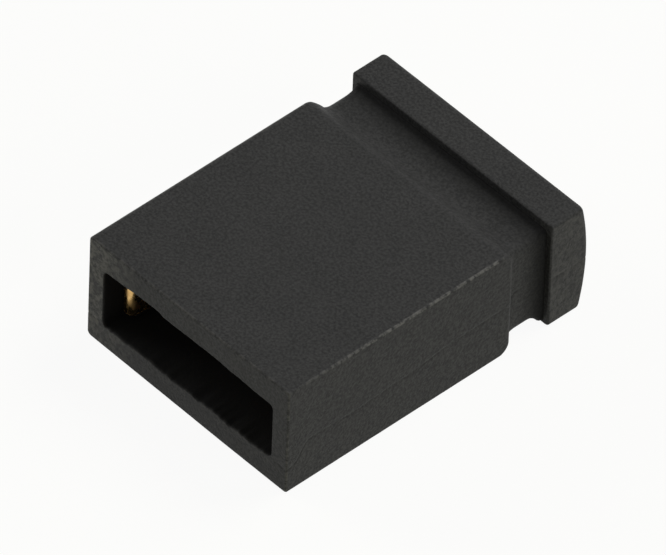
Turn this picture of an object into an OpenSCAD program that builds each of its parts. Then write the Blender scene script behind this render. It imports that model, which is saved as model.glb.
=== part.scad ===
// Jumper shunt: joins two neighbouring square posts of a pin header.
//
// A one-piece moulded housing, closed at its grip end, holds one formed strip.
// The strip stands on edge in the housing's pocket and is folded like a letter M:
// a hem and a sprung beam outside each post, an arch over each post's tip, and one
// fold that hangs between the posts.
//
// The shunt lies on a broad face. X runs across the mouth, +Y from the mouth to the
// grip and +Z up through the thickness. The origin is the bottom centre of the shunt,
// and the modules place things by their distance in from the mouth. Sizes are in mm.

/* [Body] */
// Width of the body, across the mouth
body_w = 4.95; // [4.85:0.01:5.08]
// Thickness of the body, between its broad faces
body_t = 2.36; // [2.2:0.01:2.54]
// Length of the body, from the mouth to the step down to the neck
body_l = 5.11; // [4.6:0.01:5.5]
// Rounding of the body's long edges
long_edge_r = 0.05; // [0.02:0.01:0.12]
// Rounding of the edges round the mouth face
mouth_edge_r = 0.04; // [0.02:0.01:0.1]
// Rounding where the broad faces roll over to the neck
step_edge_r = 0.25; // [0.1:0.01:0.4]
// Rounding of the body's side edges at the neck
step_corner_r = 0.08; // [0.02:0.01:0.12]

/* [Neck and grip] */
// Length of the neck, between the body and the grip flange
neck_l = 0.85; // [0.5:0.01:1.2]
// How far the neck stands back from the body's sides
neck_side_in = 0.14; // [0.08:0.01:0.2]
// How far the neck stands back from the broad faces
neck_broad_in = 0.19; // [0.12:0.01:0.3]
// Rounding of the neck's long edges
neck_edge_r = 0.18; // [0.05:0.01:0.25]
// Length of the grip flange, with its domed back
flange_l = 0.88; // [0.6:0.01:1.2]
// Rise of the flange's domed back
flange_dome = 0.14; // [0.05:0.01:0.25]
// Rounding of the flange's long edges, and of its back's broad edges
flange_edge_r = 0.07; // [0.02:0.01:0.12]
// Rounding of the upright edges of the flange's back
flange_corner_r = 0.09; // [0.02:0.01:0.15]

/* [Pocket] */
// Wall between the pocket and each side
side_wall = 0.385; // [0.3:0.005:0.45]
// Wall between the pocket and each broad face
broad_wall = 0.56; // [0.45:0.01:0.65]
// Wall behind the pocket, up to the crown of the flange's back
end_wall = 0.89; // [0.5:0.01:1.2]
// Rounding of the pocket's four long corners
pocket_r = 0.1; // [0.05:0.01:0.15]

/* [Contact] */
// Thickness of the strip
strip_t = 0.12; // [0.08:0.01:0.14]
// Depth of the hems, in from the mouth
hem_in = 0.39; // [0.3:0.01:0.8]
// Gap inside a hem, between its two leaves
hem_gap = 0.06; // [0.04:0.01:0.12]
// Depth of the middle fold's nose, in from the mouth
nose_in = 1.3; // [1:0.05:2]
// Depth of the beams' contact points, in from the mouth
bump_in = 3.2; // [2.6:0.05:3.6]
// How far a relaxed beam reaches into its post's place
preload = 0.09; // [0.04:0.01:0.15]
// Bend radius where a beam leaves its hem, on the strip's mid-line
beam_bend_r = 1; // [0.5:0.05:1.5]
// Bend radius of a beam's contact point, on the strip's mid-line
bump_bend_r = 1.2; // [0.5:0.05:1.5]
// Length of a beam's straight end, past its contact point
tail_l = 0.8; // [0.4:0.05:1.2]
// Bend radius of the arches over the posts, on the strip's mid-line
arch_bend_r = 0.3; // [0.15:0.01:0.5]
// Gap between the arches and the pocket's end
arch_gap = 0.05; // [0.02:0.01:0.15]

/* [Header] */
// Distance between the two posts
pitch = 2.54; // [2.5:0.01:2.6]
// Width of a square post
post_w = 0.64; // [0.6:0.01:0.68]

/* [Hidden] */

$fn = 96;
OVER = 1;        // how far a cutting or trimming shape runs past what it shapes
LAP = 0.2;       // how far the neck runs into the body and the flange

// Housing
flange_y = body_l + neck_l;
length_all = flange_y + flange_l;
dome_r = (pow(body_t / 2, 2) + pow(flange_dome, 2)) / (2 * flange_dome);
dome_sweep = 2 * asin(body_t / 2 / dome_r);
mid_z = body_t / 2;

// Pocket
pocket_w = body_w - 2 * side_wall;
pocket_h = body_t - 2 * broad_wall;
pocket_l = length_all - end_wall;

// Contact, with every position on the strip's mid-line
strip_w = pocket_h - 2 * pocket_r;
hem_r = (hem_gap + strip_t) / 2;
outer_x = pocket_w / 2 - strip_t / 2;
beam_x = outer_x - 2 * hem_r;
bump_x = (pitch + post_w) / 2 - preload + strip_t / 2;
inner_x = (pitch - post_w) / 2 - strip_t / 2;
hem_y = hem_in + strip_t / 2 + hem_r;
nose_y = nose_in + strip_t / 2 + inner_x;
arch_y = pocket_l - arch_gap - strip_t / 2;
arch_r = min(arch_bend_r, (outer_x - inner_x) / 2);

// Straight length and turn that join two opposite bends whose radii add up to `radii`,
// when their outer ends run parallel, `along` apart lengthways and `across` apart sideways
function joining_length(along, across, radii) =
    sqrt(pow(along, 2) + pow(radii - across, 2) - pow(radii, 2));
function joining_turn(along, across, radii) =
    atan2(radii, joining_length(along, across, radii)) - atan2(radii - across, along);

beam_along = bump_in - hem_y;
beam_across = beam_x - bump_x;
beam_radii = beam_bend_r + bump_bend_r;
beam_l = joining_length(beam_along, beam_across, beam_radii);
beam_turn = joining_turn(beam_along, beam_across, beam_radii);

// Half of the strip, from the middle fold to a beam's end: each row is a straight
// length, then a turn in degrees (to the left is positive) and the turn's radius
HALF_STRIP = [
    [arch_y - arch_r - nose_y, -90, arch_r],
    [outer_x - inner_x - 2 * arch_r, -90, arch_r],
    [arch_y - arch_r - hem_y, -180, hem_r],
    [0, beam_turn, beam_bend_r],
    [beam_l, -2 * beam_turn, bump_bend_r],
    [tail_l, 0, 0],
];

// Moves what is placed by its distance in from the mouth to the shunt's own frame
module from_mouth() {
    translate([0, -length_all / 2, 0]) children();
}

// Rectangle centred on x = 0, from y = 0 to l, with corners of radius near and far
module panel(w, l, near, far) {
    translate([-w / 2, near]) square([w, l - near - far]);
    translate([-w / 2 + near, 0]) square([w - 2 * near, near]);
    translate([-w / 2 + far, l - far]) square([w - 2 * far, far]);
    for (side = [-1, 1]) {
        translate([side * (w / 2 - near), near]) circle(near);
        translate([side * (w / 2 - far), l - far]) circle(far);
    }
}

// Rectangle as above whose far end is an arc of radius dome, with its corners rounded by far
module domed_panel(w, l, dome, far) {
    corner = [w / 2 - far, sqrt(pow(dome - far, 2) - pow(w / 2 - far, 2))];
    reach = 2 * dome / corner[1];
    translate([0, l - dome]) {
        // the arc, between the points where it meets the corners
        intersection() {
            circle(dome);
            polygon([[0, 0], reach * corner, [-reach * corner[0], reach * corner[1]]]);
        }
        translate([-w / 2, dome - l]) square([w, corner[1] - dome + l]);
        for (side = [-1, 1]) translate([side * corner[0], corner[1]]) circle(far);
    }
}

// Prisms of an outline: seen from the mouth, from above and from the side
module along_y(l) {
    translate([0, l, 0]) rotate([90, 0, 0]) linear_extrude(l) children();
}

module along_z(t) {
    linear_extrude(t) children();
}

module along_x(w) {
    rotate([0, -90, 0]) linear_extrude(w, center = true) children();
}

// Block from y = 0 to l with rounded edges. edge is the radius of its long edges;
// plan and side are the radii at its near and far ends, seen from above and from the side
module moulded_block(w, l, t, edge, plan, side) {
    intersection() {
        translate([0, -OVER, 0]) along_y(l + 2 * OVER) panel(w, t, edge, edge);
        translate([0, 0, -OVER]) along_z(t + 2 * OVER) panel(w, l, plan[0], plan[1]);
        translate([0, 0, t / 2]) along_x(w + 2 * OVER) panel(t, l, side[0], side[1]);
    }
}

module body_block() {
    moulded_block(body_w, body_l, body_t, long_edge_r,
        [mouth_edge_r, step_corner_r], [mouth_edge_r, step_edge_r]);
}

module neck_block() {
    w = body_w - 2 * neck_side_in;
    t = body_t - 2 * neck_broad_in;
    translate([0, body_l - LAP - step_edge_r, neck_broad_in])
        along_y(neck_l + step_edge_r + 2 * LAP) panel(w, t, neck_edge_r, neck_edge_r);
}

module flange_block() {
    intersection() {
        translate([0, flange_y, 0]) moulded_block(body_w, flange_l + OVER, body_t, flange_edge_r,
            [mouth_edge_r, mouth_edge_r], [mouth_edge_r, mouth_edge_r]);
        translate([0, flange_y, mid_z]) along_x(body_w + 2 * OVER)
            domed_panel(body_t, flange_l, dome_r, flange_edge_r);
        // the plan's rounded corners, swept round the dome
        translate([0, length_all - dome_r, mid_z]) rotate([90, 0, 90]) rotate(-dome_sweep)
            rotate_extrude(angle = 2 * dome_sweep) translate([dome_r - flange_l - OVER, 0])
                rotate(-90) panel(body_w, flange_l + OVER, flange_corner_r, flange_corner_r);
    }
}

module pocket() {
    translate([0, -OVER, broad_wall])
        along_y(pocket_l + OVER) panel(pocket_w, pocket_h, pocket_r, pocket_r);
}

module housing() {
    color([0.16, 0.16, 0.165]) from_mouth() difference() {
        union() {
            body_block();
            neck_block();
            flange_block();
        }
        pocket();
    }
}

// Bend of the strip that starts at the origin along +Y and turns left by `turn`
module bend(turn, r) {
    translate([-r, 0, 0]) rotate_extrude(angle = turn)
        translate([r - strip_t / 2, 0]) square([strip_t, strip_w]);
}

// Strip that starts at the origin along +Y and follows the rows of steps from row i
module formed_strip(steps, i = 0) {
    if (i < len(steps)) {
        straight = steps[i][0];
        turn = steps[i][1];
        r = steps[i][2];
        if (straight > 0)
            translate([-strip_t / 2, 0, 0]) cube([strip_t, straight, strip_w]);
        translate([0, straight, 0]) {
            if (turn > 0) bend(turn, r);
            if (turn < 0) mirror([1, 0, 0]) bend(-turn, r);
            centre_x = turn > 0 ? -r : r;
            translate([centre_x, 0, 0]) rotate(turn) translate([-centre_x, 0, 0])
                formed_strip(steps, i + 1);
        }
    }
}

module contact() {
    color([0.83, 0.62, 0.27]) from_mouth() translate([0, 0, mid_z - strip_w / 2]) {
        // the middle fold's nose, which faces the mouth
        translate([inner_x, nose_y, 0]) mirror([0, 1, 0]) bend(180, inner_x);
        for (side = [0, 1])
            mirror([side, 0, 0]) translate([inner_x, nose_y, 0]) formed_strip(HALF_STRIP);
    }
}

housing();
contact();
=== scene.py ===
"""Looks of the jumper shunt: its moulded housing, its folded contact strip, a studio and a camera."""

import logging
import math
from bisect import bisect_right
from dataclasses import dataclass, field
from enum import Enum
from typing import Any, Iterable, Optional, Sequence, Union

import bmesh
import bpy
from mathutils import Matrix, Vector, noise


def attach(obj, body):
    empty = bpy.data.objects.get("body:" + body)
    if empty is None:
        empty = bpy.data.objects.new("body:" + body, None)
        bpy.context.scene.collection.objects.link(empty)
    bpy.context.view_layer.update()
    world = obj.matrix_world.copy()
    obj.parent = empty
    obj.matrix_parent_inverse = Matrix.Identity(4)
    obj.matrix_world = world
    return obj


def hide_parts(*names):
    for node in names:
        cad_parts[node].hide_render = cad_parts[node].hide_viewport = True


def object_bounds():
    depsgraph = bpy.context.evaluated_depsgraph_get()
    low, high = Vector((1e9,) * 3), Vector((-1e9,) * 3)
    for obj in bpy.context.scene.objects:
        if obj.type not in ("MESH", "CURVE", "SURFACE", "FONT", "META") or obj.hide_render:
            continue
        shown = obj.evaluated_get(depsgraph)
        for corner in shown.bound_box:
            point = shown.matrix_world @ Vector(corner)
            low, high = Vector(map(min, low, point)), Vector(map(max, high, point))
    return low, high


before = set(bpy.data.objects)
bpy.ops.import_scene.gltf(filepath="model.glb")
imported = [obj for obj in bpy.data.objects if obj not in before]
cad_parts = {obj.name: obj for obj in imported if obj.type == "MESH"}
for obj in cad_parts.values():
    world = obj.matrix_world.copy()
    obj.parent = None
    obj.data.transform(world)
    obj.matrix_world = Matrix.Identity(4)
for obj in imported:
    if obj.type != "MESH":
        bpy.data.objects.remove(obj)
CAD_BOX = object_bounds()

MM = 0.001
BODY = "root"
log = logging.getLogger("shunt")

Colour = tuple[float, float, float]
Number = Union[int, float]


class Slot(Enum):
    """Material slots of the record."""

    HOUSING = "housing_plastic"
    CONTACT = "contact_plating"


# ---------------------------------------------------------------- node trees


class Sock:
    """Node output whose sums, products and comparisons with others add Math nodes to its tree."""

    def __init__(self, web: "Web", socket: bpy.types.NodeSocket) -> None:
        """Keeps the socket and the tree under construction that it belongs to.

        Args:
            web: Tree that the socket's node is in.
            socket: Output to wrap.
        """
        self.web = web
        self.socket = socket

    def _math(self, operation: str, *terms: Union["Sock", Number], clamp: bool = False) -> "Sock":
        """Adds one Math node.

        Args:
            operation: Name of the node's operation.
            terms: Values or sockets, in the node's order.
            clamp: Whether the result is held between 0 and 1.

        Returns:
            The node's result.
        """
        settings = {"operation": operation, "use_clamp": clamp}
        return self.web.node("ShaderNodeMath", settings, dict(enumerate(terms)))

    def __add__(self, other: Union["Sock", Number]) -> "Sock":
        """Sum."""
        return self._math("ADD", self, other)

    __radd__ = __add__

    def __sub__(self, other: Union["Sock", Number]) -> "Sock":
        """Difference."""
        return self._math("SUBTRACT", self, other)

    def __rsub__(self, other: Number) -> "Sock":
        """Difference from a number."""
        return self._math("SUBTRACT", other, self)

    def __mul__(self, other: Union["Sock", Number]) -> "Sock":
        """Product."""
        return self._math("MULTIPLY", self, other)

    __rmul__ = __mul__

    def __neg__(self) -> "Sock":
        """Value with its sign changed."""
        return self._math("MULTIPLY", self, -1)

    def larger(self, other: Union["Sock", Number]) -> "Sock":
        """The larger of this value and another."""
        return self._math("MAXIMUM", self, other)

    def size(self) -> "Sock":
        """Value without its sign."""
        return self._math("ABSOLUTE", self)

    def ramp(self, low: float, high: float, to_low: float = 0, to_high: float = 1) -> "Sock":
        """Soft step between two values.

        Args:
            low: Value at which the step starts.
            high: Value at which it ends.
            to_low: Result at and below low.
            to_high: Result at and above high.

        Returns:
            The result.
        """
        settings = {"interpolation_type": "SMOOTHSTEP"}
        return self.web.node("ShaderNodeMapRange", settings,
                             {"Value": self, 1: low, 2: high, 3: to_low, 4: to_high})


class Web:
    """Node tree under construction, for a material, a world or a geometry modifier."""

    def __init__(self, tree: bpy.types.NodeTree) -> None:
        """Empties the tree.

        Args:
            tree: Tree to build in.
        """
        self.tree = tree
        tree.nodes.clear()

    def node(self, kind: str, settings: Optional[dict[str, Any]] = None,
             inputs: Optional[dict[Union[str, int], Any]] = None,
             output: Union[str, int] = 0) -> Optional[Sock]:
        """Adds one node.

        Args:
            kind: Node type.
            settings: Attributes of the node, set before its sockets.
            inputs: Values or wrapped sockets, by the input's name or number.
            output: Name or number of the output that is wanted.

        Returns:
            The wrapped output, or None if the node has no outputs.
        """
        made = self.tree.nodes.new(kind)
        for name, value in (settings or {}).items():
            setattr(made, name, value)
        for name, value in (inputs or {}).items():
            if isinstance(value, Sock):
                self.tree.links.new(value.socket, made.inputs[name])
            else:
                made.inputs[name].default_value = value
        return Sock(self, made.outputs[output]) if len(made.outputs) else None

    def input(self, name: str, kind: str) -> str:
        """Adds a named input to a geometry tree.

        Args:
            name: Name of the input.
            kind: Socket type.

        Returns:
            The socket's identifier, by which a modifier sets it.
        """
        return self.tree.interface.new_socket(name, in_out="INPUT", socket_type=kind).identifier

    def seen_rays(self) -> Sock:
        """1 for what the camera sees straight, in a reflection or through glass, and 0 for other light."""
        rays = [self.node("ShaderNodeLightPath", output=f"Is {kind} Ray")
                for kind in ("Camera", "Glossy", "Transmission")]
        return rays[0].larger(rays[1]).larger(rays[2])

    def millimetres(self) -> Sock:
        """Object coordinates in millimetres."""
        place = self.node("ShaderNodeTexCoord", output="Object")
        return self.node("ShaderNodeMapping", None, {"Vector": place, "Scale": (1 / MM,) * 3})

    def speckle(self, place: Sock, per_mm: float, detail: float = 2, roughness: float = 0.5) -> Sock:
        """Noise texture.

        Args:
            place: Coordinates in millimetres.
            per_mm: Lumps in a millimetre.
            detail: Octaves of finer noise.
            roughness: Strength of the finer noise.

        Returns:
            The noise, about 0.5 on average.
        """
        return self.node("ShaderNodeTexNoise", None, {"Vector": place, "Scale": per_mm, "Detail": detail,
                                                      "Roughness": roughness})

    def blend(self, share: Union[Sock, Number], low: Any, high: Any) -> Sock:
        """Mixes two colours.

        Args:
            share: How much of the second colour shows.
            low: First colour.
            high: Second colour.

        Returns:
            The mixed colour.
        """
        first, second = [c if isinstance(c, Sock) else (*c, 1) for c in (low, high)]
        return self.node("ShaderNodeMix", {"data_type": "RGBA"}, {0: share, 6: first, 7: second},
                         output=2)


def new_material(name: str) -> tuple[bpy.types.Material, Web]:
    """Makes an empty node material.

    Args:
        name: Its name.

    Returns:
        The material and its tree.
    """
    material = bpy.data.materials.new(name)
    material.use_nodes = True
    return material, Web(material.node_tree)


# ------------------------------------------------------------------ finishes


@dataclass(frozen=True)
class MouldedPlastic:
    """Matte black moulding with a fine spark-eroded grain: paler with rub marks, painted highlights and
    painted light, and near black with painted shade in the pocket and beside the flange.
    """

    base: Colour = (0.011, 0.0111, 0.0106)
    pale: Colour = (0.040, 0.0398, 0.0384)
    # Near black painted shade, used in the pocket and in the corner beside the flange
    painted_shade: Colour = (0.001, 0.001, 0.0008)
    # Pale colour for rub marks, for painted highlights on edges and for painted light
    pale_wear_and_light: Colour = (0.11, 0.108, 0.100)
    roughness: float = 0.56
    cloud_rough: float = 0.12
    pocket_rough: float = 0.4
    worn_smooth: float = 0.05
    specular: float = 0.13
    grain_per_mm: float = 20.0
    grain_mm: float = 0.009
    pits_per_mm: float = 9.0
    pit_mm: float = 0.003
    cloud_per_mm: float = 1.6
    grain_share: float = 0.85

    def material(self) -> bpy.types.Material:
        """Builds the material, which reads the mesh's attribute of rub marks, painted highlights, painted
        light and painted shade.

        Returns:
            The material.
        """
        made, web = new_material("moulded_plastic")
        place = web.millimetres()
        grain = web.speckle(place, self.grain_per_mm, detail=3, roughness=0.6)
        pits = web.speckle(place, self.pits_per_mm, detail=1)
        cloud = web.speckle(place, self.cloud_per_mm, detail=3)
        wear_and_painted_light = web.node("ShaderNodeAttribute", {"attribute_name": Housing.WEAR_AND_PAINTED_LIGHT}, output="Fac")
        broken = web.speckle(place, self.pits_per_mm, detail=4, roughness=0.7).ramp(0.40, 0.62)
        height = grain * (self.grain_mm / self.pit_mm) + pits
        bump = web.node("ShaderNodeBump", None, {"Strength": 1.0, "Distance": self.pit_mm * MM,
                                                 "Height": height})
        mottle = grain.ramp(0.3, 0.7) * self.grain_share + cloud.ramp(0.3, 0.7) * (1 - self.grain_share)
        # Share of painted shade where the attribute is below 0 (in the pocket and beside the flange),
        # blended over the moulded colour
        inside = (-wear_and_painted_light).larger(0.0)
        rub_and_light_share = wear_and_painted_light.larger(0.0)
        moulded = web.blend(inside, web.blend(mottle, self.base, self.pale), self.painted_shade)
        # Pale where the attribute is above 0: partly rub marks, partly painted highlights and painted light
        colour = web.blend(rub_and_light_share * broken, moulded, self.pale_wear_and_light)
        roughness = (self.roughness - self.cloud_rough / 2 + cloud * self.cloud_rough
                     - rub_and_light_share * self.worn_smooth + inside * self.pocket_rough)
        shell = web.node("ShaderNodeBsdfPrincipled", None, {
            "Base Color": colour, "Roughness": roughness,
            "Specular IOR Level": self.specular, "Normal": bump})
        web.node("ShaderNodeOutputMaterial", None, {"Surface": shell})
        return made


@dataclass(frozen=True)
class GoldPlate:
    """Thin gold over nickel on rolled bronze strip, with bare bronze on its sheared edges."""

    gold: Colour = (0.78, 0.51, 0.20)
    dull: Colour = (0.60, 0.37, 0.14)
    bronze: Colour = (0.56, 0.33, 0.19)
    roughness: float = 0.24
    rolled_per_mm: float = 30.0
    rolled_mm: float = 0.0006
    drawn_out: float = 0.12
    stains_per_mm: float = 3.0
    stained_rough: float = 0.14
    sheared_rough: float = 0.16
    burr: tuple[float, float] = (0.02, 0.004)

    def material(self, half_width: float, mid_z: float) -> bpy.types.Material:
        """Builds the material.

        Args:
            half_width: Half of the strip's width, in millimetres.
            mid_z: Height of the strip's centre line, in millimetres.

        Returns:
            The material.
        """
        made, web = new_material("gold_plate")
        place = web.millimetres()
        along = web.node("ShaderNodeMapping", None, {"Vector": place, "Scale": (1.0, 1.0, self.drawn_out)})
        rolled = web.speckle(along, self.rolled_per_mm, detail=3)
        stain = web.speckle(place, self.stains_per_mm, detail=4, roughness=0.6).ramp(0.45, 0.7)
        height = web.node("ShaderNodeSeparateXYZ", None, {0: place}, output="Z")
        sheared = (height - mid_z).size().ramp(*(half_width - b for b in self.burr))
        plated = web.blend(stain, self.gold, self.dull)
        bump = web.node("ShaderNodeBump", None, {"Strength": 1.0, "Distance": self.rolled_mm * MM,
                                                 "Height": rolled})
        metal = web.node("ShaderNodeBsdfPrincipled", None, {
            "Base Color": web.blend(sheared, plated, self.bronze), "Metallic": 1.0,
            "Roughness": stain * self.stained_rough + sheared * self.sheared_rough + self.roughness,
            "Normal": bump})
        web.node("ShaderNodeOutputMaterial", None, {"Surface": metal})
        return made


@dataclass(frozen=True)
class StudioWhite:
    """Pale floor, white to the camera and in reflections, whose paint takes light and the shadow."""

    paint: Colour = (0.85, 0.85, 0.64)
    glow: float = 0.93

    def material(self) -> bpy.types.Material:
        """Builds the material.

        Returns:
            The material.
        """
        made, web = new_material("studio_white")
        matte = web.node("ShaderNodeBsdfDiffuse", None, {"Color": (*self.paint, 1), "Roughness": 0.0})
        white = web.node("ShaderNodeEmission", None, {"Color": (1, 1, 1, 1), "Strength": 1.0})
        seen = web.seen_rays()
        mixed = web.node("ShaderNodeMixShader", None, {0: seen * self.glow, 1: matte, 2: white})
        web.node("ShaderNodeOutputMaterial", None, {"Surface": mixed})
        return made


# -------------------------------------------------------------- mesh helpers


def spaced(start: float, end: float, step: float) -> list[float]:
    """Evenly spaced values from start to end, both included.

    Args:
        start: First value.
        end: Last value.
        step: Largest distance between two values.

    Returns:
        The values.
    """
    count = max(1, math.ceil(abs(end - start) / step - 1e-6))
    return [start + (end - start) * i / count for i in range(count + 1)]


def supported(start: float, end: float, step: float, guard: float) -> list[float]:
    """Spaced values with one more close to each end, which keeps the shading of a flat face flat.

    Args:
        start: First value.
        end: Last value.
        step: Largest distance between two values.
        guard: Distance of the extra values from the ends.

    Returns:
        The values.
    """
    way = math.copysign(guard, end - start)
    return [start, *spaced(start + way, end - way, step), end]


def through(points: Sequence[tuple[float, float]], at: float) -> float:
    """Height at one place of a smooth line through some points, level beyond its ends.

    Args:
        points: Places and heights, in rising order of place.
        at: Place.

    Returns:
        The height there.
    """
    i = bisect_right([p for p, _ in points], at)
    if i == 0 or i == len(points):
        return points[max(i - 1, 0)][1]
    (a, low), (b, high) = points[i - 1], points[i]
    t = (at - a) / (b - a)
    return low + (high - low) * t * t * (3 - 2 * t)


def hump(distance: float, width: float) -> float:
    """Bell curve: 1 at no distance, and almost 0 at twice the width."""
    return math.exp(-(distance / width) ** 2)


def plain_mesh(carrier: bpy.types.Object, name: str) -> bpy.types.Object:
    """Turns an object with modifiers into one with a plain mesh, and removes the first.

    Args:
        carrier: Object whose modifiers are to be made real.
        name: Name of the new object.

    Returns:
        The new object.
    """
    graph = bpy.context.evaluated_depsgraph_get()
    mesh = bpy.data.meshes.new_from_object(carrier.evaluated_get(graph), depsgraph=graph)
    mesh.name = name
    carrier.modifiers.clear()
    bpy.data.objects.remove(carrier)
    made = bpy.data.objects.new(name, mesh)
    bpy.context.scene.collection.objects.link(made)
    return made


def new_object(name: str, mesh: bpy.types.Mesh) -> bpy.types.Object:
    """Links a new object that shows the mesh.

    Args:
        name: Name of the object.
        mesh: Its mesh.

    Returns:
        The object.
    """
    made = bpy.data.objects.new(name, mesh)
    bpy.context.scene.collection.objects.link(made)
    return made


def add_tree(carrier: bpy.types.Object, tree: bpy.types.NodeTree, values: dict[str, Any]) -> None:
    """Gives an object a geometry modifier.

    Args:
        carrier: The object.
        tree: Geometry tree.
        values: Values of the tree's inputs, by the socket's identifier.
    """
    modifier = carrier.modifiers.new(tree.name, "NODES")
    modifier.node_group = tree
    for identifier, value in values.items():
        modifier[identifier] = value


# ------------------------------------------------------------------- housing


@dataclass
class Section:
    """Outline of the skin at one place along the shunt: a rectangle with rounded corners.

    Attributes:
        y: Distance in from the mouth.
        half_w: Half width.
        half_t: Half thickness.
        corner: Radius of its corners.
        dome: 0 where the outline is flat, 1 where it follows the domed back.
        centre: Height that it closes on, from the middle of the thickness.
        wear_and_painted_light: How strongly rub marks, painted highlight and painted light pale the
            outline, or below 0 how deep its painted shade is.
        inside: Whether it lies in the pocket.
        left_corner: Radius of the two corners on the left, where it differs.
        grown: How far the outline stands out at the top, at the bottom and at the sides.
        bowed: Share of the slot's bow and raggedness that the outline follows.
    """

    y: float
    half_w: float
    half_t: float
    corner: float
    dome: float = 0.0
    centre: float = 0.0
    wear_and_painted_light: float = 0.0
    inside: bool = False
    left_corner: Optional[float] = None
    grown: tuple[float, float, float] = (0.0, 0.0, 0.0)
    bowed: float = 0.0


@dataclass
class Housing:
    """One-piece moulding, lofted as one closed skin from the pocket's end to the domed back.

    Sizes are in millimetres.
    """

    body_w: float = 4.95
    body_t: float = 2.36
    body_l: float = 5.11
    long_edge_r: float = 0.05
    mouth_edge_r: float = 0.04
    step_edge_r: float = 0.25
    step_corner_r: float = 0.08
    neck_l: float = 0.85
    neck_side_in: float = 0.14
    neck_broad_in: float = 0.19
    neck_edge_r: float = 0.18
    step_cove_r: float = 0.5
    flange_cove_top: float = 0.03
    flange_cove_bottom: float = 0.34
    flange_l: float = 0.88
    flange_dome: float = 0.14
    flange_edge_r: float = 0.07
    flange_corner_r: float = 0.09
    side_wall: float = 0.385
    broad_wall: float = 0.56
    end_wall: float = 0.89
    pocket_r: float = 0.1
    lip_r: float = 0.015
    grid: float = 0.06
    guard: float = 0.012
    corner_steps: int = 5
    left_edge_r: float = 0.09
    side_cove: float = 0.02
    cove_most: tuple[float, float, float] = (0.05, 0.15, 0.03)
    # Painted shade on the neck beside the flange: its depth and how far it reaches
    flange_corner_painted_shade: float = 0.75
    painted_shade_width: float = 0.4
    # The mouth's outer edge: partly rub marks, partly painted highlight
    mouth_edge_rub_and_highlight: float = 0.5
    # Painted light on the flange's sides, which are made paler
    flange_side_painted_light: float = 0.25
    # Paler long edges, partly rub marks and partly painted highlight; the upper right ridge gets the
    # strongest painted highlight
    edge_rub_and_highlight: float = 0.3
    ridge_rub_and_highlight: float = 0.7
    plain_edge_rub_and_highlight: float = 0.1
    ridge_from: float = 0.3
    ridge_rise: float = 1.5
    # Painted light: the mouth face grows paler towards its left end, starting here and over this width
    left_light_from: float = 1.2
    left_light_rise: float = 1.0
    # Painted shade in the pocket reaches full depth this far in from the mouth
    pocket_dark_l: float = 0.06
    line_depth: float = 0.006
    line_width: float = 0.028
    corner_lift: float = 0.045
    lift_start: float = 0.3
    lift_slope: float = 1.4
    lift_l: float = 1.5
    side_line: tuple[tuple[float, float], ...] = (
        (0.0, 0.55), (0.14, 0.58), (0.5, 0.98), (1.6, 0.95), (2.5, 0.99), (3.9, 1.11), (4.9, 1.12),
        (5.1, 1.06), (5.3, 1.17), (5.6, 1.16), (6.0, 1.12), (6.8, 1.10))
    slot_bow: tuple[tuple[float, float], ...] = (
        (-2.0, 0.0), (-1.0, 0.05), (-0.75, 0.06), (-0.6, 0.02), (0.4, 0.03), (2.0, -0.02))
    bow_l: float = 0.5
    bow_ragged: float = 0.012
    sill_ragged: float = 0.045
    sill_drop: float = 0.02
    relief_mm: float = 0.006
    relief_per_mm: float = 5.0
    relief_seed: float = 3.0
    relief_share: float = 0.6
    broad_scale: float = 0.12
    broad_seed: float = 7.0
    finish: MouldedPlastic = field(default_factory=MouldedPlastic)

    WEAR_AND_PAINTED_LIGHT = "wear_and_painted_light"
    NAME = "housing_skin"
    EDGE_TURNS = (18, 36, 54, 72, 90)
    LINE_BAND = (-1.9, -1.3, -0.8, -0.4, 0, 0.4, 0.8, 1.3, 1.9)

    @property
    def length(self) -> float:
        """Overall length."""
        return self.body_l + self.neck_l + self.flange_l

    @property
    def dome_r(self) -> float:
        """Radius of the domed back."""
        return ((self.body_t / 2) ** 2 + self.flange_dome ** 2) / (2 * self.flange_dome)

    def pocket_sections(self) -> list[Section]:
        """Outlines from the closed end of the pocket to its lip at the mouth.

        Returns:
            The outlines, in order.
        """
        half_w, half_t = self.body_w / 2 - self.side_wall, self.body_t / 2 - self.broad_wall
        end = self.length - self.end_wall
        made = [self.shrunk(Section(end, half_w, half_t, self.pocket_r, inside=True), share)
                for share in spaced(0, 1, 0.2)]
        stops = [*spaced(end, 0.6, 0.25), *spaced(0.6, self.lip_r, 0.04)[1:]]
        made += [Section(y, half_w, half_t, self.pocket_r, inside=True) for y in stops[1:]]
        for turn in (30, 60, 90):
            out = self.lip_r * (1 - math.cos(math.radians(turn)))
            in_y = self.lip_r * (1 - math.sin(math.radians(turn)))
            made.append(Section(in_y, half_w + out, half_t + out, self.pocket_r + out, inside=True))
        return made

    @staticmethod
    def shrunk(outer: Section, share: float) -> Section:
        """Outline drawn in towards the line that closes an end.

        Args:
            outer: Full outline.
            share: 0 for the closing line, 1 for the full outline.

        Returns:
            The outline between them.
        """
        reach = outer.half_w - outer.half_t
        return Section(outer.y, reach + outer.half_t * share, outer.half_t * share, outer.corner * share,
                       outer.dome, outer.centre * (1 - share), outer.wear_and_painted_light * share, outer.inside)

    def mouth_sections(self) -> list[Section]:
        """Outlines across the mouth face and round its outer edge.

        Returns:
            The outlines, in order.
        """
        inner = self.pocket_sections()[-1]
        r = self.mouth_edge_r
        full = (self.body_w / 2, self.body_t / 2)
        made = []
        for t in supported(0, 1, 0.1, 0.03)[1:]:
            blended = [a + (b - r - a) * t for a, b in zip((inner.half_w, inner.half_t), full)]
            made.append(Section(0, *blended, inner.corner + (self.long_edge_r - inner.corner) * t,
                                left_corner=inner.corner + (self.left_edge_r - inner.corner) * t,
                                bowed=1 - t))
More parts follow.
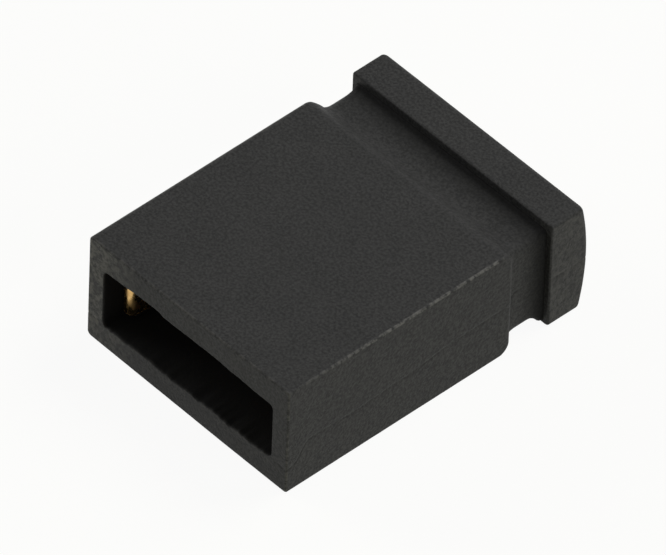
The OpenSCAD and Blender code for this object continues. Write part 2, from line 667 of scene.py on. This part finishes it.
        # Rounding of the mouth's outer edge, made paler: partly rub marks, partly painted highlight
        for turn in self.EDGE_TURNS:
            out = r * (1 - math.sin(math.radians(turn)))
            made.append(Section(r * (1 - math.cos(math.radians(turn))), full[0] - out, full[1] - out,
                                self.long_edge_r, wear_and_painted_light=self.mouth_edge_rub_and_highlight, left_corner=self.left_edge_r))
        made[-1].wear_and_painted_light = self.plain_edge_rub_and_highlight
        return made

    def body_sections(self) -> list[Section]:
        """Outlines of the body behind the mouth's edge, to where its broad faces start to roll down.

        Returns:
            The outlines, in order.
        """
        stops = supported(self.mouth_edge_r, self.body_l - self.step_edge_r, self.grid, self.guard)[1:]
        half_w, half_t = self.body_w / 2, self.body_t / 2
        return [Section(y, half_w, half_t, self.long_edge_r, left_corner=self.left_edge_r)
                for y in stops]

    @property
    def step_turn(self) -> float:
        """Steepest slope of the roll from the body down to the neck, in radians."""
        return math.acos(1 - self.neck_broad_in / (self.step_edge_r + self.step_cove_r))

    def roll(self, y: float) -> float:
        """Drop of the broad faces between the body and the neck: an edge rounding, then a cove.

        Args:
            y: Distance in from the mouth.

        Returns:
            The drop, 0 on the body and the neck's full setback on the neck.
        """
        past = y - (self.body_l - self.step_edge_r)
        half = self.step_edge_r * math.sin(self.step_turn)
        if past <= half:
            return self.step_edge_r - math.sqrt(self.step_edge_r ** 2 - max(0.0, past) ** 2)
        left = max(0.0, half + self.step_cove_r * math.sin(self.step_turn) - past)
        return self.neck_broad_in - self.step_cove_r + math.sqrt(self.step_cove_r ** 2 - left ** 2)

    @staticmethod
    def cove(away: float, r: float) -> float:
        """How far a hollow fillet stands out from a face that meets a wall.

        Args:
            away: Distance from the wall.
            r: Radius of the fillet.

        Returns:
            The distance out, 0 beyond the fillet.
        """
        into = max(0.0, r - away)
        return r - math.sqrt(max(0.0, r * r - into * into))

    @staticmethod
    def rounded_off(y: float, end: float, r: float) -> float:
        """How far an edge's rounding draws a face in.

        Args:
            y: Place along the face.
            end: Place where the face ends.
            r: Radius of the rounding.

        Returns:
            The distance in, 0 before the rounding starts.
        """
        past = max(0.0, y - (end - r))
        return r - math.sqrt(max(0.0, r * r - past * past))

    def neck_sections(self) -> list[Section]:
        """Outlines of the roll, the neck, and the flange's front face and front edge.

        Returns:
            The outlines, in order.
        """
        start, end = self.body_l - self.step_edge_r, self.body_l + self.neck_l
        corner = self.body_l - self.step_corner_r
        turns = [self.body_l - self.step_corner_r * (1 - math.sin(math.radians(turn)))
                 for turn in self.EDGE_TURNS]
        before = spaced(start, corner, self.grid / 2)[1:]
        after = supported(self.body_l, end, self.grid / 2, self.guard)
        made = []
        for y, on_body in [(y, True) for y in before + turns] + [(y, False) for y in after]:
            side_in = self.rounded_off(y, self.body_l, self.step_corner_r) if on_body else self.neck_side_in
            down = min(1.0, self.roll(y) / self.neck_broad_in)
            section = Section(y, self.body_w / 2 - side_in, self.body_t / 2 - self.roll(y),
                              self.long_edge_r + (self.neck_edge_r - self.long_edge_r) * down,
                              left_corner=self.left_edge_r + (self.neck_edge_r - self.left_edge_r) * down)
            if not on_body:
                radii = (self.flange_cove_top, self.flange_cove_bottom, self.side_cove)
                section.grown = tuple(min(most, self.cove(end - y, r))
                                      for r, most in zip(radii, self.cove_most))
                filled = section.grown[1] / self.cove_most[1]
                section.corner += (self.flange_edge_r - section.corner) * filled
                section.left_corner = section.corner
                # Painted shade in the corner where the neck meets the flange, carried as a value below 0
                section.wear_and_painted_light = -self.flange_corner_painted_shade * hump(end - y, self.painted_shade_width)
            made.append(section)
        neck, r = made[-1], self.mouth_edge_r
        full = (self.body_w / 2, self.body_t / 2)
        for t in supported(0, 1, 0.2, 0.06)[1:]:
            blended = [a + (b - r - a) * t for a, b in zip((neck.half_w, neck.half_t), full)]
            made.append(Section(end, *blended, neck.corner + (self.flange_edge_r - neck.corner) * t,
                                grown=tuple(out * (1 - t) for out in neck.grown)))
        for turn in self.EDGE_TURNS:
            out = r * (1 - math.sin(math.radians(turn)))
            made.append(Section(end + r * (1 - math.cos(math.radians(turn))), full[0] - out, full[1] - out,
                                self.flange_edge_r))
        return made

    def flange_sections(self) -> list[Section]:
        """Outlines of the flange behind its front edge, its back edge and its domed back.

        Returns:
            The outlines, in order.
        """
        full = (self.body_w / 2, self.body_t / 2)
        start, end = self.body_l + self.neck_l + self.mouth_edge_r, self.length - self.flange_corner_r
        made = [Section(start + (end - start) * t, *full, self.flange_edge_r, dome=t)
                for t in supported(0, 1, 0.09, 0.02)[1:]]
        for turn in range(12, 91, 13):
            share = 1 - math.cos(math.radians(turn))
            rise = self.flange_corner_r * math.sin(math.radians(turn))
            made.append(Section(end + rise, full[0] - self.flange_corner_r * share,
                                full[1] - self.flange_edge_r * share, self.flange_edge_r, dome=1))
        back = made[-1]
        back.centre = through(self.side_line, self.length) - self.body_t / 2
        steps = [*spaced(0.985, 0.08, 0.05), 0.045, 0.03, 0.02, 0.01, 0]
        made += [self.shrunk(back, share) for share in steps]
        back.centre = 0.0
        return made

    def outline(self, section: Section) -> list[tuple[float, float, float]]:
        """Points of an outline, anticlockwise from the right side's lower end as seen from the mouth.

        Args:
            section: The outline.

        Returns:
            Across, height from the middle of the thickness, and share of a long edge, for each point.
        """
        w, t, r = section.half_w, section.half_t, section.corner
        q = r if section.left_corner is None else min(section.left_corner, t)
        line = through(self.side_line, section.y) - self.body_t / 2

        def rows(radius: float) -> list[float]:
            """Heights of the points on a side between corners of that radius, rising."""
            room = 0.8 * (t - radius)
            middle = max(-room, min(room, line))
            band = [middle + k * self.line_width * min(1, t) for k in self.LINE_BAND]
            share = [0.0, 0.015, *[i / 17 for i in range(1, 17)]]
            lower = [radius - t + (band[0] - radius + t) * s for s in share]
            return lower + band + [t - radius + (band[-1] - t + radius) * s for s in reversed(share)]

        flat = [q - w + (2 * w - r - q) * (k + 1) / 2 for k in self.columns()]
        arc = [math.radians(90 * i / self.corner_steps) for i in range(1, self.corner_steps)]
        turn = [(math.cos(a), math.sin(a)) for a in arc]
        made = [(w, z, 0.0) for z in rows(r)]
        made += [(w - r + r * c, t - r + r * s, 1.0) for c, s in turn]
        made += [(x, t, 0.0) for x in reversed(flat)]
        made += [(q - w - q * s, t - q + q * c, 1.0) for c, s in turn]
        made += [(-w, z, 0.0) for z in reversed(rows(q))]
        made += [(q - w - q * c, q - t - q * s, 1.0) for c, s in turn]
        made += [(x, -t, 0.0) for x in flat]
        made += [(w - r + r * s, r - t - r * c, 1.0) for c, s in turn]
        if not any(section.grown):
            return made
        up, down, aside = section.grown
        return [(x * (1 + aside / w), z * (1 + (up if z > 0 else down) / t), edge) for x, z, edge in made]

    def columns(self) -> list[float]:
        """Places of the points along a broad edge, from -1 to 1."""
        return supported(-1, 1, 2 * self.grid / self.body_w, self.guard)

    def settled(self, section: Section, x: float, z: float) -> tuple[float, float, float]:
        """Place of one point with the mould's small faults: its witness line, its flash and a lift of its
        lower left corner near the mouth.

        Args:
            section: Outline that the point is on.
            x: Place across.
            z: Height from the middle of the thickness.

        Returns:
            The place, from the mouth's bottom centre.
        """
        closing = section.centre
        y = section.y - section.dome * (self.dome_r - math.sqrt(self.dome_r ** 2 - z * z))
        z = z + closing
        bowed = max(0.0, 1 - section.y / self.bow_l) if section.inside else section.bowed
        if bowed:
            ragged = noise.noise(Vector((x * 2.3, 0, 4.2))) + 0.8 * noise.noise(Vector((x * 9, 0, 1.7)))
            if z > 0:
                z += bowed * (through(self.slot_bow, x) + self.bow_ragged * ragged)
            else:
                z += bowed * (self.sill_ragged * ragged - self.sill_drop)
        if section.inside:
            return x, y, z + self.body_t / 2
        line = through(self.side_line, section.y) - self.body_t / 2
        groove = self.line_depth * hump(z - line, self.line_width)
        if section.y < 1e-6 and abs(x) > self.body_w / 2 - self.side_wall:
            y += groove
        elif section.dome and section.half_w < self.body_w / 2 - self.flange_corner_r * 0.99:
            y -= groove
        elif abs(x) > section.half_w - 1e-6:
            x -= math.copysign(groove, x)
        if z < 0:
            left = max(0.0, self.lift_start - x / self.body_w * self.lift_slope)
            near = max(0.0, 1 - y / self.lift_l) * min(1.0, -z / (self.body_t / 2))
            z += self.corner_lift * left * near * (1 - bowed)
        return x, y, z + self.body_t / 2

    def sections(self) -> list[Section]:
        """Every outline of the skin, from the pocket's end to the back."""
        return [*self.pocket_sections(), *self.mouth_sections(), *self.body_sections(),
                *self.neck_sections(), *self.flange_sections()]

    def skin(self) -> bpy.types.Mesh:
        """Lofts the skin through its outlines.

        Returns:
            The mesh, in metres, in the shunt's frame.
        """
        places, wear_and_painted_light, count = [], [], 0
        for section in self.sections():
            points = self.outline(section)
            count = len(points)
            for x, z, edge in points:
                px, py, pz = self.settled(section, x, z)
                places.append((px * MM, (py - self.length / 2) * MM, pz * MM))
                wear_and_painted_light.append(self.rub_light_and_shade(section, x, z, edge))
        rings = len(places) // count
        turned = [(j, (j + 1) % count) for j in range(count)]
        faces = [(i * count + j, i * count + k, (i + 1) * count + k, (i + 1) * count + j)
                 for i in range(rings - 1) for j, k in turned]
        mesh = bpy.data.meshes.new(self.NAME)
        mesh.from_pydata(places, [], faces)
        mesh.attributes.new(self.WEAR_AND_PAINTED_LIGHT, "FLOAT", "POINT").data.foreach_set("value", wear_and_painted_light)
        shell = bmesh.new()
        shell.from_mesh(mesh)
        bmesh.ops.remove_doubles(shell, verts=shell.verts, dist=1e-8)
        bmesh.ops.dissolve_degenerate(shell, edges=shell.edges, dist=1e-8)
        bmesh.ops.recalc_face_normals(shell, faces=shell.faces)
        for face in shell.faces:
            face.smooth = True
        shell.to_mesh(mesh)
        shell.free()
        return mesh

    def rub_light_and_shade(self, section: Section, x: float, z: float, edge: float) -> float:
        """How pale or dark the skin is made at one point, by rub marks, painted highlights, painted light
        and painted shade.

        Args:
            section: Outline that the point is on.
            x: Place across.
            z: Height from the middle of the thickness.
            edge: Share of a long edge.

        Returns:
            0 for the moulded grain, up to 1 where rub marks, painted highlights or painted light make it
            pale, and below 0 where painted shade makes it dark.
        """
        # Painted shade: the pocket's inside goes near black a short way in from the mouth
        if section.inside:
            return -min(1.0, section.y / self.pocket_dark_l)
        # Painted shade beside the flange
        if section.wear_and_painted_light < 0:
            return section.wear_and_painted_light
        # Long edges: partly rub marks, partly painted highlight, strongest along the upper right ridge
        # further back
        long_edge = 0.0
        if edge and section.corner <= self.long_edge_r + 1e-6:
            most = self.ridge_rub_and_highlight if x > 0 and z > 0 else self.plain_edge_rub_and_highlight
            rise = max(0.0, min(1.0, (section.y - self.ridge_from) / self.ridge_rise))
            long_edge = self.edge_rub_and_highlight + most * rise
        # Painted light on the left part of the mouth face and on the flange's sides
        painted_light = 0.0
        if section.y < 1e-6 and x < 0:
            painted_light = max(0.0, min(1.0, (-x - self.left_light_from) / self.left_light_rise))
        # Painted light: the flange's sides made paler
        if section.y > self.length - self.flange_l and abs(x) > self.body_w / 2 - 1e-6:
            painted_light = self.flange_side_painted_light
        return max(section.wear_and_painted_light, long_edge, painted_light)

    def relief(self, material: bpy.types.Material) -> tuple[bpy.types.NodeTree, dict[str, Any]]:
        """Geometry tree that sinks the skin's low spots, for the uneven surface of a moulding.

        Args:
            material: Finish of the result.

        Returns:
            The tree, and the values of its inputs.
        """
        tree = bpy.data.node_groups.new("moulded_relief", "GeometryNodeTree")
        web = Web(tree)
        shape = web.input("Geometry", "NodeSocketGeometry")
        depth = web.input("Depth", "NodeSocketFloat")
        scale = web.input("Lumps per metre", "NodeSocketFloat")
        seed = web.input("Seed", "NodeSocketFloat")
        dress = web.input("Material", "NodeSocketMaterial")
        tree.interface.new_socket("Geometry", in_out="OUTPUT", socket_type="NodeSocketGeometry")
        entry = web.node("NodeGroupInput")
        inputs = {name: Sock(web, entry.socket.node.outputs[name])
                  for name in ("Geometry", "Depth", "Lumps per metre", "Seed", "Material")}
        place = web.node("GeometryNodeInputPosition")
        fine = web.node("ShaderNodeTexNoise", {"noise_dimensions": "4D"}, {
            "Vector": place, "W": inputs["Seed"], "Scale": inputs["Lumps per metre"], "Detail": 2.0})
        broad = web.node("ShaderNodeTexNoise", {"noise_dimensions": "4D"}, {
            "Vector": place, "W": inputs["Seed"] + self.broad_seed,
            "Scale": inputs["Lumps per metre"] * self.broad_scale, "Detail": 1.0})
        sunk = -(inputs["Depth"] * (fine * self.relief_share + broad * self.relief_share).larger(0.0))
        normal = web.node("GeometryNodeInputNormal")
        offset = web.node("ShaderNodeVectorMath", {"operation": "SCALE"}, {0: normal, "Scale": sunk})
        moved = web.node("GeometryNodeSetPosition", None, {"Geometry": inputs["Geometry"],
                                                           "Offset": offset})
        real = web.node("GeometryNodeRealizeInstances", None, {0: moved})
        dressed = web.node("GeometryNodeSetMaterial", None, {"Geometry": real,
                                                             "Material": inputs["Material"]})
        web.node("NodeGroupOutput", None, {0: dressed})
        return tree, {depth: self.relief_mm * MM, scale: self.relief_per_mm / MM,
                      seed: self.relief_seed, dress: material}

    def build(self) -> bpy.types.Object:
        """Returns:
            The housing's object.
        """
        material = self.finish.material()
        carrier = new_object("housing_carrier", self.skin())
        tree, values = self.relief(material)
        add_tree(carrier, tree, values)
        made = plain_mesh(carrier, self.NAME)
        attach(made, BODY)
        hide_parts("housing")
        return made


# ------------------------------------------------------------------- contact


@dataclass
class Contact:
    """Strip on edge in the pocket, folded like a letter M. Sizes are in millimetres."""

    strip_t: float = 0.12
    strip_w: float = 1.04
    pocket_w: float = 4.18
    pocket_l: float = 5.95
    length_all: float = 6.84
    mid_z: float = 1.18
    hem_in: float = 0.39
    hem_gap: float = 0.06
    nose_in: float = 1.3
    bump_in: float = 3.2
    preload: float = 0.09
    beam_bend_r: float = 1.0
    bump_bend_r: float = 1.2
    tail_l: float = 0.8
    arch_bend_r: float = 0.3
    arch_gap: float = 0.05
    pitch: float = 2.54
    post_w: float = 0.64
    edge_r: float = 0.012
    clear: float = 0.001
    turn_step: float = 5.0
    finish: GoldPlate = field(default_factory=GoldPlate)

    NAME = "contact_strip"

    def half_path(self) -> list[tuple[float, float]]:
        """Mid-line of the right half, from the middle fold's nose to the beam's end.

        Returns:
            Places across and in from the mouth.
        """
        t = self.strip_t
        hem_r = (self.hem_gap + t) / 2
        outer_x = self.pocket_w / 2 - t / 2
        inner_x = (self.pitch - self.post_w) / 2 - t / 2
        bump_x = (self.pitch + self.post_w) / 2 - self.preload + t / 2
        hem_y = self.hem_in + t / 2 + hem_r
        nose_y = self.nose_in + t / 2 + inner_x
        arch_y = self.pocket_l - self.arch_gap - t / 2
        arch_r = min(self.arch_bend_r, (outer_x - inner_x) / 2)
        along, across = self.bump_in - hem_y, outer_x - 2 * hem_r - bump_x
        radii = self.beam_bend_r + self.bump_bend_r
        straight = math.sqrt(along ** 2 + (radii - across) ** 2 - radii ** 2)
        turn = math.degrees(math.atan2(radii, straight) - math.atan2(radii - across, along))
        steps = [(0, 90, inner_x), (arch_y - arch_r - nose_y, -90, arch_r),
                 (outer_x - inner_x - 2 * arch_r, -90, arch_r), (arch_y - arch_r - hem_y, -180, hem_r),
                 (0, turn, self.beam_bend_r), (straight, -2 * turn, self.bump_bend_r), (self.tail_l, 0, 0)]
        at, heading = Vector((0.0, nose_y - inner_x)), 0.0
        made = [tuple(at)]
        for ahead, turned, radius in steps:
            if ahead:
                at = at + ahead * Vector((math.cos(heading), math.sin(heading)))
                made.append(tuple(at))
            pieces = max(1, math.ceil(abs(turned) / self.turn_step))
            side = math.copysign(1, turned)
            centre = at + side * radius * Vector((-math.sin(heading), math.cos(heading)))
            for _ in range(pieces if turned else 0):
                heading += math.radians(turned / pieces)
                at = centre - side * radius * Vector((-math.sin(heading), math.cos(heading)))
                made.append(tuple(at))
        return made

    def path_mesh(self) -> bpy.types.Mesh:
        """Whole mid-line as a chain of edges, in metres, in the shunt's frame.

        Returns:
            The chain's mesh.
        """
        half = self.half_path()
        chain = [(-x, y) for x, y in reversed(half[1:])] + half
        places = [(x * MM, (y - self.length_all / 2) * MM, self.mid_z * MM) for x, y in chain]
        mesh = bpy.data.meshes.new("strip_path")
        mesh.from_pydata(places, [(i, i + 1) for i in range(len(places) - 1)], [])
        return mesh

    def sweep(self, material: bpy.types.Material) -> tuple[bpy.types.NodeTree, dict[str, Any]]:
        """Geometry tree that sweeps the strip's section along its mid-line.

        Args:
            material: Finish of the result.

        Returns:
            The tree, and the values of its inputs.
        """
        tree = bpy.data.node_groups.new("strip_sweep", "GeometryNodeTree")
        web = Web(tree)
        web.input("Geometry", "NodeSocketGeometry")
        values = {web.input("Thickness", "NodeSocketFloat"): (self.strip_t - 2 * self.clear) * MM,
                  web.input("Width", "NodeSocketFloat"): self.strip_w * MM,
                  web.input("Edge radius", "NodeSocketFloat"): self.edge_r * MM,
                  web.input("Material", "NodeSocketMaterial"): material}
        tree.interface.new_socket("Geometry", in_out="OUTPUT", socket_type="NodeSocketGeometry")
        entry = web.node("NodeGroupInput").socket.node
        inputs = {s.name: Sock(web, s) for s in entry.outputs if s.name}
        line = web.node("GeometryNodeMeshToCurve", None, {0: inputs["Geometry"]})
        upright = web.node("GeometryNodeSetCurveNormal", {"mode": "Z_UP"}, {0: line})
        flat = web.node("GeometryNodeCurvePrimitiveQuadrilateral", {"mode": "RECTANGLE"}, {
            0: inputs["Thickness"], 1: inputs["Width"]})
        section = web.node("GeometryNodeFilletCurve", {"mode": "POLY"}, {
            "Curve": flat, "Count": 3, "Radius": inputs["Edge radius"]})
        solid = web.node("GeometryNodeCurveToMesh", None, {
            "Curve": upright, "Profile Curve": section, "Fill Caps": True})
        real = web.node("GeometryNodeRealizeInstances", None, {0: solid})
        dressed = web.node("GeometryNodeSetMaterial", None, {"Geometry": real,
                                                             "Material": inputs["Material"]})
        web.node("NodeGroupOutput", None, {0: dressed})
        return tree, values

    def build(self) -> bpy.types.Object:
        """Returns:
            The strip's object.
        """
        material = self.finish.material(self.strip_w / 2, self.mid_z)
        carrier = new_object("strip_carrier", self.path_mesh())
        tree, values = self.sweep(material)
        add_tree(carrier, tree, values)
        made = plain_mesh(carrier, self.NAME)
        shell = bmesh.new()
        shell.from_mesh(made.data)
        bmesh.ops.remove_doubles(shell, verts=shell.verts, dist=1e-8)
        bmesh.ops.recalc_face_normals(shell, faces=shell.faces)
        shell.to_mesh(made.data)
        shell.free()
        made.data.shade_smooth()
        made.data.set_sharp_from_angle(angle=math.radians(28))
        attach(made, BODY)
        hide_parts("contact")
        return made


# --------------------------------------------------------- studio and camera


@dataclass(frozen=True)
class Lamp:
    """Soft square lamp that faces the shunt.

    Attributes:
        name: Name of the lamp.
        azimuth: Direction that it stands in, in degrees: 0 is in front of the mouth, 90 to its right.
        elevation: Height above the floor, in degrees.
        distance: Distance from the shunt's middle, in metres.
        size: Length of its sides, in metres.
        level: Light that it gives a white surface that faces it, where 1 is white.
    """

    name: str
    azimuth: float
    elevation: float
    distance: float
    size: float
    level: float

    def build(self, target: Vector) -> bpy.types.Object:
        """Makes the lamp.

        Args:
            target: Point that it faces.

        Returns:
            The lamp's object.
        """
        data = bpy.data.lights.new(self.name, "AREA")
        data.shape = "SQUARE"
        data.size = self.size
        data.energy = self.level * (math.pi * self.distance) ** 2
        made = bpy.data.objects.new(self.name, data)
        way = direction(self.azimuth, self.elevation)
        facing = way.to_track_quat("Z", "Y").to_matrix().to_4x4()
        made.matrix_world = Matrix.Translation(target + way * self.distance) @ facing
        bpy.context.scene.collection.objects.link(made)
        return made


def direction(azimuth: float, elevation: float) -> Vector:
    """Unit vector from the shunt towards a place round it.

    Args:
        azimuth: Degrees round from in front of the mouth, towards the right.
        elevation: Degrees above the floor.

    Returns:
        The vector.
    """
    a, e = math.radians(azimuth), math.radians(elevation)
    return Vector((math.sin(a) * math.cos(e), -math.cos(a) * math.cos(e), math.sin(e)))


@dataclass
class Studio:
    """Pale floor, soft lamps and an even surround."""

    lamps: tuple[Lamp, ...] = (
        Lamp("rear_lamp", 165, 54, 0.14, 0.07, 0.56),
        Lamp("left_lamp", -72, 24, 0.14, 0.06, 0.42),
        Lamp("right_lamp", 95, 26, 0.14, 0.07, 0.36),
    )
    surround: float = 0.02
    floor_half: float = 0.25
    finish: StudioWhite = field(default_factory=StudioWhite)

    def build(self, target: Vector) -> None:
        """Makes the floor, the lamps and the surround.

        Args:
            target: Middle of the shunt.
        """
        s = self.floor_half
        mesh = bpy.data.meshes.new("studio_floor")
        mesh.from_pydata([(-s, -s, 0), (s, -s, 0), (s, s, 0), (-s, s, 0)], [], [(0, 1, 2, 3)])
        mesh.materials.append(self.finish.material())
        new_object("studio_floor", mesh)
        for lamp in self.lamps:
            lamp.build(target)
        world = bpy.data.worlds.new("studio_surround")
        bpy.context.scene.world = world
        world.use_nodes = True
        web = Web(world.node_tree)
        lit = web.seen_rays().ramp(0, 1, self.surround, 1.0)
        even = web.node("ShaderNodeBackground", None, {"Color": (1, 1, 1, 1), "Strength": lit})
        web.node("ShaderNodeOutputWorld", None, {"Surface": even})


@dataclass
class StudioCamera:
    """Long lens that looks down on the mouth's near corner. Offsets are in millimetres."""

    azimuth: float = 45.929
    elevation: float = 45.019
    roll: float = 2.162
    distance: float = 0.37992
    lens: float = 1226.65
    aim: tuple[float, float, float] = (0.016, -0.1316, -0.0926)

    def build(self, middle: Vector) -> bpy.types.Object:
        """Makes the camera and gives it to the scene.

        Args:
            middle: Middle of the shunt's box.

        Returns:
            The camera's object.
        """
        data = bpy.data.cameras.new("studio_camera")
        data.lens = self.lens
        data.sensor_width = 36.0
        data.clip_start, data.clip_end = 0.01, 5.0
        made = bpy.data.objects.new("studio_camera", data)
        way = direction(self.azimuth, self.elevation)
        facing = way.to_track_quat("Z", "Y").to_matrix() @ Matrix.Rotation(math.radians(self.roll), 3, "Z")
        place = middle + Vector(self.aim) * MM + way * self.distance
        made.matrix_world = Matrix.Translation(place) @ facing.to_4x4()
        bpy.context.scene.collection.objects.link(made)
        bpy.context.scene.camera = made
        return made


def report(made: bpy.types.Object) -> None:
    """Logs a piece's faces and extent."""
    low, high = [Vector(map(pick, zip(*[v.co for v in made.data.vertices]))) / MM for pick in (min, max)]
    sizes = " x ".join(f"{size:.3f}" for size in high - low)
    log.info("%s: %d faces, %s mm", made.name, len(made.data.polygons), sizes)


def main() -> None:
    """Builds the shunt's pieces, the studio and the camera, and notes the sizes."""
    logging.basicConfig(level=logging.INFO, format="%(message)s")
    middle = (CAD_BOX[0] + CAD_BOX[1]) / 2
    StudioCamera().build(middle)
    for part in (Housing(), Contact()):
        report(part.build())
    Studio().build(middle)
    bpy.context.scene.view_settings.view_transform = "Standard"


if __name__ == "__main__":
    main()
